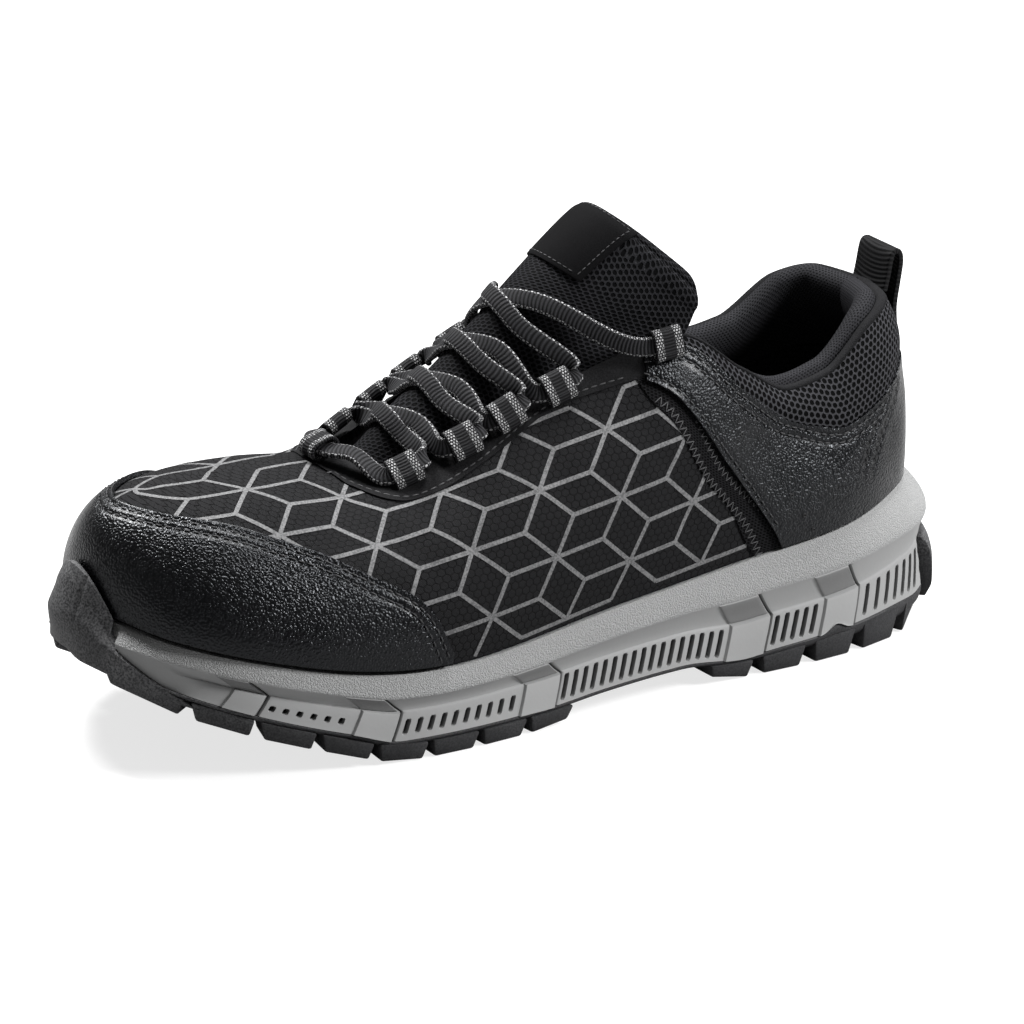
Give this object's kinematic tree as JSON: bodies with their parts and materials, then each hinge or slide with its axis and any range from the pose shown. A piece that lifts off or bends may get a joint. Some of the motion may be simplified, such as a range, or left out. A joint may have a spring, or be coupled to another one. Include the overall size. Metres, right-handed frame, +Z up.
{
  "type": "work sneaker",
  "caption": "Low work sneaker, left foot: lugged outsole with toe guard, ribbed cup midsole, hollow lasted upper with toe cap, padded collar, tongue, webbing lace loops and flat lace.",
  "frame": {"origin": "on the floor under the middle of the shoe's bounding box", "axes": "+X towards the toe, +Y to the outer side of the left foot, +Z up"},
  "size_m": [0.31, 0.1106, 0.147],
  "materials": {
    "rubber": "matt black lugged rubber",
    "foam": "grey moulded foam, finely stippled",
    "upper_fabric": "black ripstop cloth with a grey line print of tumbling blocks",
    "leather": "charcoal pebbled microfibre leather",
    "lining": "black spacer mesh and knit lining",
    "tongue_mesh": "black padded spacer mesh",
    "label": "plain black woven label",
    "webbing": "black webbing with two grey stitched stripes",
    "lace": "dark grey flat woven lace"
  },
  "bodies": {
    "root": {"collar": "lining", "heel_counter": "leather", "insole": "lining", "lace_bar_front": "lace", "lace_cross_1": "lace", "lace_cross_2": "lace", "lace_cross_3": "lace", "lace_cross_4": "lace", "lace_loop_front": "webbing", "lace_loop_lateral_1": "webbing", "lace_loop_lateral_2": "webbing", "lace_loop_lateral_3": "webbing", "lace_loop_lateral_4": "webbing", "lace_loop_lateral_5": "webbing", "lace_loop_medial_1": "webbing", "lace_loop_medial_2": "webbing", "lace_loop_medial_3": "webbing", "lace_loop_medial_4": "webbing", "lace_loop_medial_5": "webbing", "midsole": "foam", "outsole": "rubber", "pull_loop": "webbing", "quarter_lateral": "leather", "quarter_medial": "leather", "toe_cap": "leather", "tongue": "tongue_mesh", "tongue_label": "label", "upper": "upper_fabric"}
  },
  "joints": []
}
